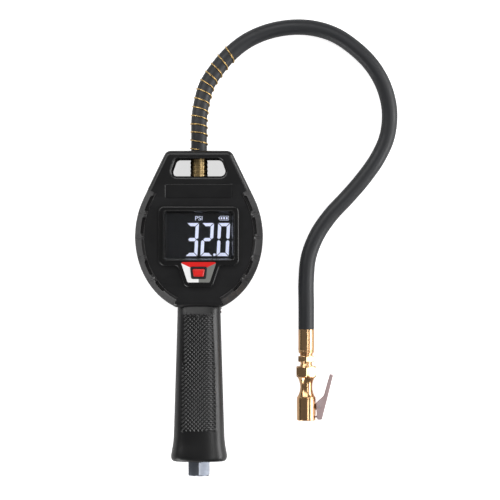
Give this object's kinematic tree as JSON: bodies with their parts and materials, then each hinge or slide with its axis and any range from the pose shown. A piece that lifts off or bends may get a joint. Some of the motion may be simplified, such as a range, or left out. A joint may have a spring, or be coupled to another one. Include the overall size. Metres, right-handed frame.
{
  "type": "tyre inflator with gauge",
  "caption": "Hand-held digital tyre inflator: display head with hanging loop, squeeze handle with air inlet, rubber air hose with spring guard and a brass clip-on valve chuck.",
  "frame": {"origin": "middle of the inflator's length and width, on the plane its back rests on, without the hose and chuck", "axes": "+Y from the air inlet to the hanging loop, +Z out of the display, +X to the right seen from the front"},
  "size_m": [0.2131, 0.3706, 0.041],
  "materials": {
    "shell_black": "fine moulded grain",
    "boot_rubber": "matte moulded rubber",
    "trim_black": "fine satin",
    "window_glass": "polished, tinted",
    "lcd_dark": "polished black",
    "lcd_light": "glowing white",
    "board_green": "solder mask",
    "steel": "plated",
    "black_steel": "black oxide",
    "button_red": "moulded gloss",
    "seal_black": "soft matte",
    "label_print": "printed in red, white and grey",
    "cell_jacket": "shrink film",
    "grip_black": "diamond knurl, semi-gloss",
    "lever_black": "fine moulded grain",
    "inlet_alloy": "satin, blue-grey",
    "filter_bronze": "sintered",
    "valve_alloy": "turned",
    "brass": "turned",
    "lead_red": "flat cable",
    "ferrule_brass": "turned, darker",
    "hose_rubber": "smooth matte cover",
    "guard_brass": "drawn wire",
    "chuck_brass": "turned and polished",
    "clip_nickel": "nickel plated pressing"
  },
  "bodies": {
    "inflator": {"front_shell": "shell_black", "rear_shell": "shell_black", "bumper_boot": "boot_rubber", "nameplate": "trim_black", "display_bezel": "trim_black", "display_window": "window_glass", "lcd_module": "lcd_dark", "backlight": "lcd_light", "circuit_board": "board_green", "board_screws": "steel", "button_seal": "seal_black", "button_label": "label_print", "dome_switch": "steel", "battery_cover": "shell_black", "battery_cover_screw": "steel", "batteries": "cell_jacket", "battery_contacts": "steel", "shell_screws": "black_steel", "handle_front_shell": "shell_black", "handle_rear_shell": "shell_black", "grip_panel": "grip_black", "handle_screws": "black_steel", "trigger_pin": "steel", "inlet_adapter": "inlet_alloy", "inlet_filter": "filter_bronze", "inlet_seal": "seal_black", "valve_body": "valve_alloy", "valve_spring": "steel", "valve_cap": "brass", "stem_seal": "seal_black", "air_tube": "brass", "outlet_block": "brass", "pressure_sensor": "steel", "sensor_lead": "lead_red", "hose_ferrule_gauge": "ferrule_brass", "hose": "hose_rubber", "hose_spring_guard": "guard_brass", "hose_ferrule_chuck": "chuck_brass", "hose_adapter": "chuck_brass", "chuck_body": "chuck_brass", "chuck_seal": "seal_black", "chuck_core_pin": "chuck_brass", "chuck_pin": "steel", "chuck_lever_spring": "steel"},
    "trigger": {"trigger_lever": "lever_black"},
    "stem": {"valve_stem": "brass"},
    "button": {"mode_button": "button_red"},
    "clip": {"chuck_lever": "clip_nickel"}
  },
  "joints": [
    {"name": "trigger_squeeze", "type": "hinge", "parent": "inflator", "child": "trigger", "pos_m": [0, 0.0022, 0.0125], "axis": [-1, 0, 0], "range_deg": [0, 5.5], "stiffness_Nm_per_rad": 4, "springref_deg": -5.73},
    {"name": "stem_lift", "type": "slide", "parent": "inflator", "child": "stem", "axis": [0, 0, 1], "range_m": [0, 0.00215], "deforming": ["valve_spring"]},
    {"name": "mode_button_press", "type": "slide", "parent": "inflator", "child": "button", "axis": [0, 0, -1], "range_m": [0, 0.0008], "stiffness_N_per_m": 600, "springref_m": -0.0006},
    {"name": "clip_lever_press", "type": "hinge", "parent": "inflator", "child": "clip", "pos_m": [0.0974, -0.0763, 0.0094], "axis": [0, 0, 1], "range_deg": [0, 22], "stiffness_Nm_per_rad": 0.25, "springref_deg": -17.19}
  ],
  "couplings": [
    {"joint": "stem_lift", "follows": "trigger_squeeze", "m_per_rad": 0.0222}
  ]
}
